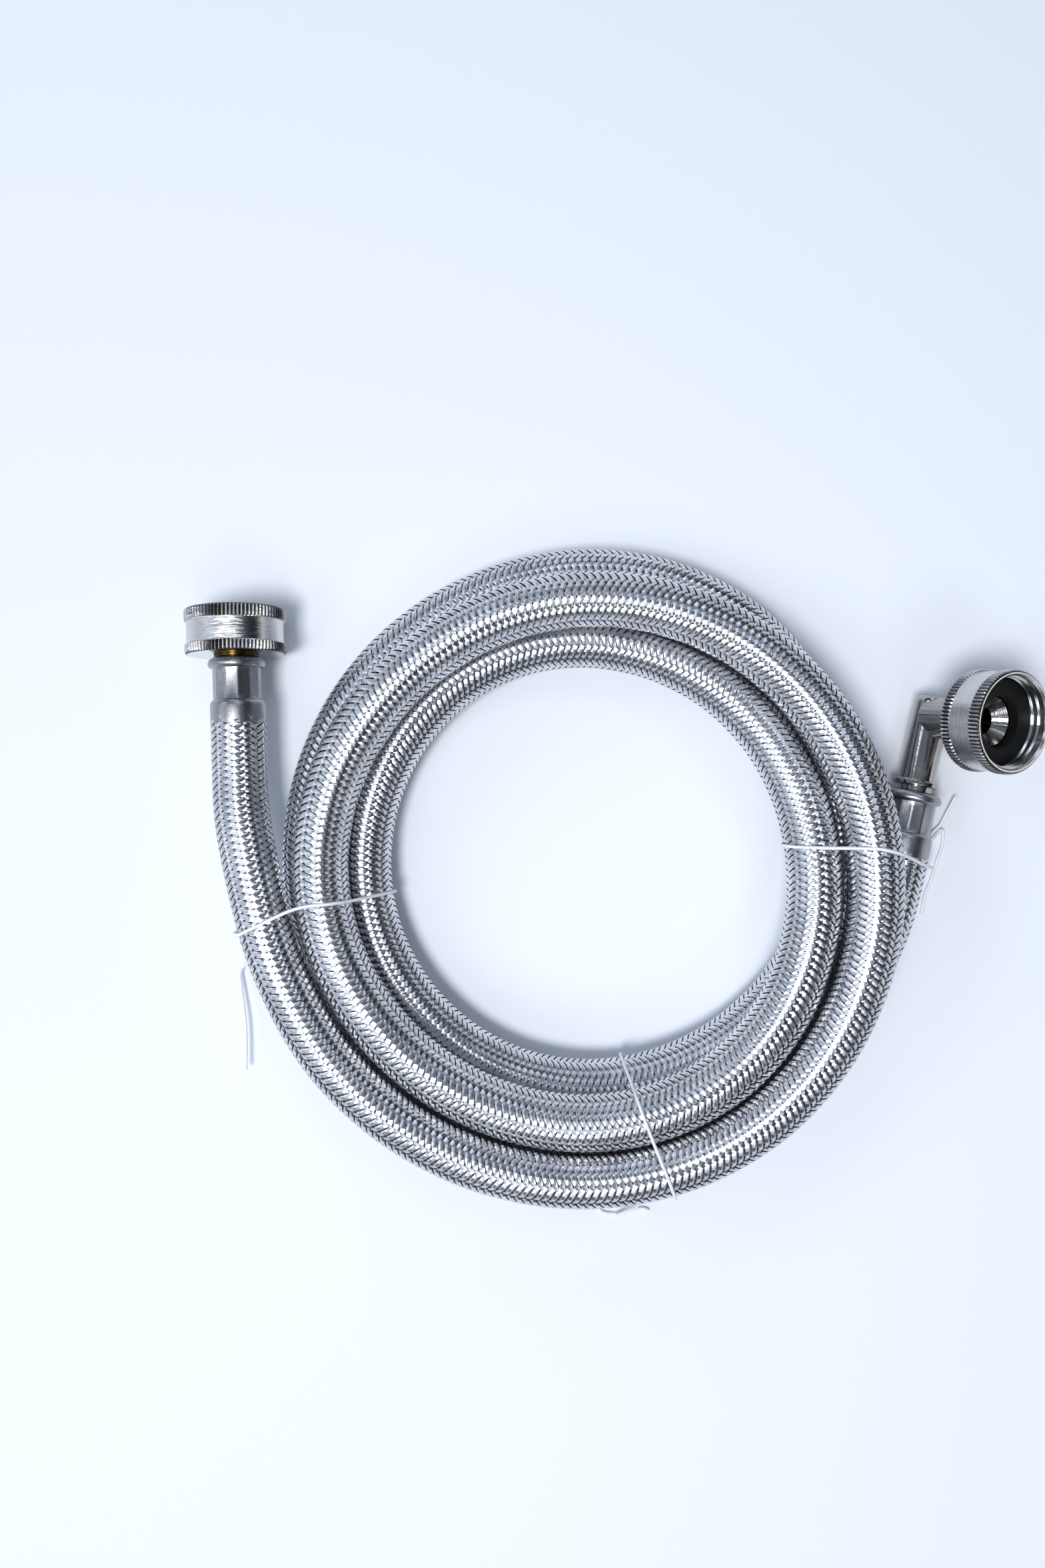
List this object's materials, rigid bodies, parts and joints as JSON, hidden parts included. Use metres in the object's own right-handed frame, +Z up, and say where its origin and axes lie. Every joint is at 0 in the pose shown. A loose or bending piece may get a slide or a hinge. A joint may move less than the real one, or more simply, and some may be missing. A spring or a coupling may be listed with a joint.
{
  "type": "washing machine hose",
  "caption": "Coiled stainless braided fill hose with a swivel coupling nut at a straight end and another at an elbow end, held by twist ties.",
  "frame": {"origin": "centre of the bounding box at its base, on the surface that the coil lies on", "axes": "+Z up from the ground, +X across the coil towards the elbow end, +Y towards the side that both couplings are on"},
  "size_m": [0.2528, 0.2066, 0.0439],
  "materials": {
    "braid": "woven stainless wire",
    "liner": "matt",
    "stainless": "satin pressed stainless steel",
    "brass": "turned",
    "nickel": "bright nickel plate on turned brass",
    "rubber": "matt black",
    "coating": "white plastic coated wire"
  },
  "bodies": {
    "hose": {"braid_sleeve": "braid", "inner_tube": "liner", "straight_ferrule": "stainless", "elbow_ferrule": "stainless", "straight_tailpiece": "brass", "elbow_body": "nickel", "straight_washer": "rubber", "elbow_washer": "rubber", "twist_tie_left": "coating", "twist_tie_bottom": "coating", "twist_tie_right": "coating"},
    "straight_nut": {"straight_coupling_nut": "nickel"},
    "elbow_nut": {"elbow_coupling_nut": "nickel"}
  },
  "joints": [
    {"name": "straight_nut_spin", "type": "hinge", "parent": "hose", "child": "straight_nut", "pos_m": [-0.11132, 0.07721, 0.01485], "axis": [-0.0314, 0.9995, 0], "continuous": true},
    {"name": "elbow_nut_spin", "type": "hinge", "parent": "hose", "child": "elbow_nut", "pos_m": [0.10999, 0.04982, 0.03088], "axis": [0.4441, -0.0944, 0.891], "continuous": true}
  ]
}
